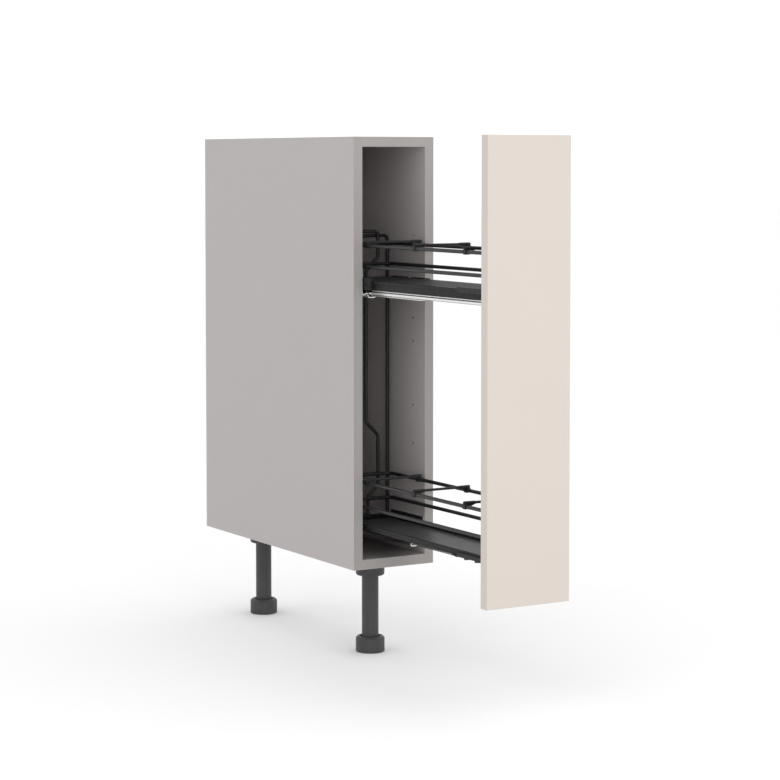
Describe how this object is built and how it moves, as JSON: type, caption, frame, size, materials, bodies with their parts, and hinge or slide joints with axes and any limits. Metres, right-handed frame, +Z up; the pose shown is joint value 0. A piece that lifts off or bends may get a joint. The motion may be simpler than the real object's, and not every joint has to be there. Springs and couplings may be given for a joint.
{
  "type": "pull-out base cabinet",
  "caption": "Narrow base cabinet on legs whose plain front pulls out stacked wire baskets with sliding dividers on telescopic runners.",
  "frame": {"origin": "on the floor, in the middle of the footprint with the front pulled out as in the picture", "axes": "+Z up, -Y out of the cabinet towards the user, +X to the user's right when facing the front"},
  "size_m": [0.15, 0.929, 0.853],
  "materials": {
    "carcass_board": "satin melamine",
    "back_board": "satin melamine",
    "front_board": "smooth matt lacquer",
    "dowel_wood": "raw beech",
    "fitting_steel": "zinc plated",
    "runner_steel": "bright zinc plated",
    "roller_steel": "polished",
    "coated_wire": "fine powder coat",
    "coated_sheet": "fine powder coat",
    "divider_wire": "fine powder coat",
    "leg_plastic": "moulded",
    "dark_plastic": "moulded",
    "grey_plastic": "moulded",
    "cage_plastic": "moulded",
    "soft_dots": "soft clear"
  },
  "bodies": {
    "carcass": {"side_panel_left": "carcass_board", "side_panel_right": "carcass_board", "top_panel": "carcass_board", "bottom_panel": "carcass_board", "back_panel": "back_board", "wood_dowels": "dowel_wood", "cam_bolts": "fitting_steel", "cam_locks": "fitting_steel", "leg_socket_front": "leg_plastic", "leg_socket_rear": "leg_plastic", "leg_tubes": "leg_plastic", "runner_rail_upper": "runner_steel", "runner_rail_lower": "runner_steel", "runner_screws": "fitting_steel", "runner_caps": "dark_plastic"},
    "pullout": {"front_panel": "front_board", "front_bumpers": "soft_dots", "bracket_screws": "fitting_steel", "tray_screws": "coated_sheet", "rear_frame_outer": "coated_wire", "rear_frame_inner": "coated_wire", "tray_guides_upper": "grey_plastic", "slide_carrier_lower": "runner_steel", "tray_floor_lower": "coated_sheet", "tray_upper": "coated_sheet", "mid_rail_upper": "coated_wire", "top_rail_upper": "coated_wire", "front_bracket_upper": "coated_sheet", "tray_catch_upper": "dark_plastic", "runner_slide_upper": "runner_steel", "tray_lower": "coated_sheet", "mid_rail_lower": "coated_wire", "top_rail_lower": "coated_wire", "front_bracket_lower": "coated_sheet", "tray_catch_lower": "dark_plastic", "runner_slide_lower": "runner_steel"},
    "runner_middle_upper": {"runner_middle_upper": "runner_steel"},
    "cage_outer_upper": {"cage_outer_upper": "cage_plastic", "rollers_outer_upper": "roller_steel"},
    "cage_inner_upper": {"cage_inner_upper": "cage_plastic", "rollers_inner_upper": "roller_steel"},
    "divider_upper_1": {"divider_wire_upper_1": "divider_wire", "divider_clips_upper_1": "dark_plastic"},
    "divider_upper_2": {"divider_wire_upper_2": "divider_wire", "divider_clips_upper_2": "dark_plastic"},
    "divider_upper_3": {"divider_wire_upper_3": "divider_wire", "divider_clips_upper_3": "dark_plastic"},
    "runner_middle_lower": {"runner_middle_lower": "runner_steel"},
    "cage_outer_lower": {"cage_outer_lower": "cage_plastic", "rollers_outer_lower": "roller_steel"},
    "cage_inner_lower": {"cage_inner_lower": "cage_plastic", "rollers_inner_lower": "roller_steel"},
    "divider_lower_1": {"divider_wire_lower_1": "divider_wire", "divider_clips_lower_1": "dark_plastic"},
    "divider_lower_2": {"divider_wire_lower_2": "divider_wire", "divider_clips_lower_2": "dark_plastic"},
    "divider_lower_3": {"divider_wire_lower_3": "divider_wire", "divider_clips_lower_3": "dark_plastic"},
    "foot_front": {"foot_front": "leg_plastic"},
    "foot_rear": {"foot_rear": "leg_plastic"}
  },
  "joints": [
    {"name": "pullout_slide", "type": "slide", "parent": "carcass", "child": "pullout", "axis": [0, -1, 0], "range_m": [-0.372, 0.088]},
    {"name": "runner_middle_upper_slide", "type": "slide", "parent": "carcass", "child": "runner_middle_upper", "axis": [0, -1, 0], "range_m": [-0.186, 0.044]},
    {"name": "cage_outer_upper_slide", "type": "slide", "parent": "carcass", "child": "cage_outer_upper", "axis": [0, -1, 0], "range_m": [-0.093, 0.022]},
    {"name": "cage_inner_upper_slide", "type": "slide", "parent": "carcass", "child": "cage_inner_upper", "axis": [0, -1, 0], "range_m": [-0.279, 0.066]},
    {"name": "divider_upper_1_slide", "type": "slide", "parent": "pullout", "child": "divider_upper_1", "axis": [0, -1, 0], "range_m": [-0.05, 0.05]},
    {"name": "divider_upper_2_slide", "type": "slide", "parent": "pullout", "child": "divider_upper_2", "axis": [0, -1, 0], "range_m": [-0.05, 0.05]},
    {"name": "divider_upper_3_slide", "type": "slide", "parent": "pullout", "child": "divider_upper_3", "axis": [0, -1, 0], "range_m": [-0.05, 0.05]},
    {"name": "runner_middle_lower_slide", "type": "slide", "parent": "carcass", "child": "runner_middle_lower", "axis": [0, -1, 0], "range_m": [-0.186, 0.044]},
    {"name": "cage_outer_lower_slide", "type": "slide", "parent": "carcass", "child": "cage_outer_lower", "axis": [0, -1, 0], "range_m": [-0.093, 0.022]},
    {"name": "cage_inner_lower_slide", "type": "slide", "parent": "carcass", "child": "cage_inner_lower", "axis": [0, -1, 0], "range_m": [-0.279, 0.066]},
    {"name": "divider_lower_1_slide", "type": "slide", "parent": "pullout", "child": "divider_lower_1", "axis": [0, -1, 0], "range_m": [-0.05, 0.05]},
    {"name": "divider_lower_2_slide", "type": "slide", "parent": "pullout", "child": "divider_lower_2", "axis": [0, -1, 0], "range_m": [-0.05, 0.05]},
    {"name": "divider_lower_3_slide", "type": "slide", "parent": "pullout", "child": "divider_lower_3", "axis": [0, -1, 0], "range_m": [-0.05, 0.05]},
    {"name": "foot_front_screw", "type": "slide", "parent": "carcass", "child": "foot_front", "axis": [0, 0, -1], "range_m": [-0.0095, 0.015]},
    {"name": "foot_rear_screw", "type": "slide", "parent": "carcass", "child": "foot_rear", "axis": [0, 0, -1], "range_m": [-0.0095, 0.015]}
  ],
  "couplings": [
    {"joint": "runner_middle_upper_slide", "follows": "pullout_slide", "ratio": 0.5},
    {"joint": "cage_outer_upper_slide", "follows": "pullout_slide", "ratio": 0.25},
    {"joint": "cage_inner_upper_slide", "follows": "pullout_slide", "ratio": 0.75},
    {"joint": "runner_middle_lower_slide", "follows": "pullout_slide", "ratio": 0.5},
    {"joint": "cage_outer_lower_slide", "follows": "pullout_slide", "ratio": 0.25},
    {"joint": "cage_inner_lower_slide", "follows": "pullout_slide", "ratio": 0.75}
  ]
}
